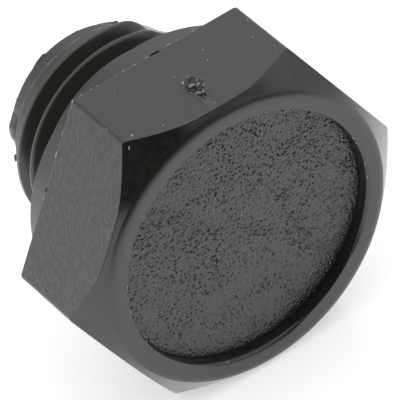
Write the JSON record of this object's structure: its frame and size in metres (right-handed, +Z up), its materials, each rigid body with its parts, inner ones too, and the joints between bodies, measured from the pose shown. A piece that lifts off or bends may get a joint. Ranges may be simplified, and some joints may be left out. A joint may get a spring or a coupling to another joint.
{
  "type": "hydraulic blanking plug",
  "caption": "Black plastic blanking plug: hexagon head with a raised rim round a shallow grained disc, a round sealing collar and a hollow G 1/4 threaded spigot.",
  "frame": {"origin": "on the thread axis, in the plane of the collar's sealing face", "axes": "+Y along the thread axis towards the spigot's open end, -Y is the way the head's face looks, +Z up, square to the hexagon flat that lies uppermost; the plug lies on the opposite flat"},
  "size_m": [0.0218, 0.0164, 0.019],
  "materials": {
    "black_plastic": "satin moulded black, with a fine spark-eroded grain on the recessed disc"
  },
  "bodies": {
    "root": {"plug_body": "black_plastic"}
  },
  "joints": []
}
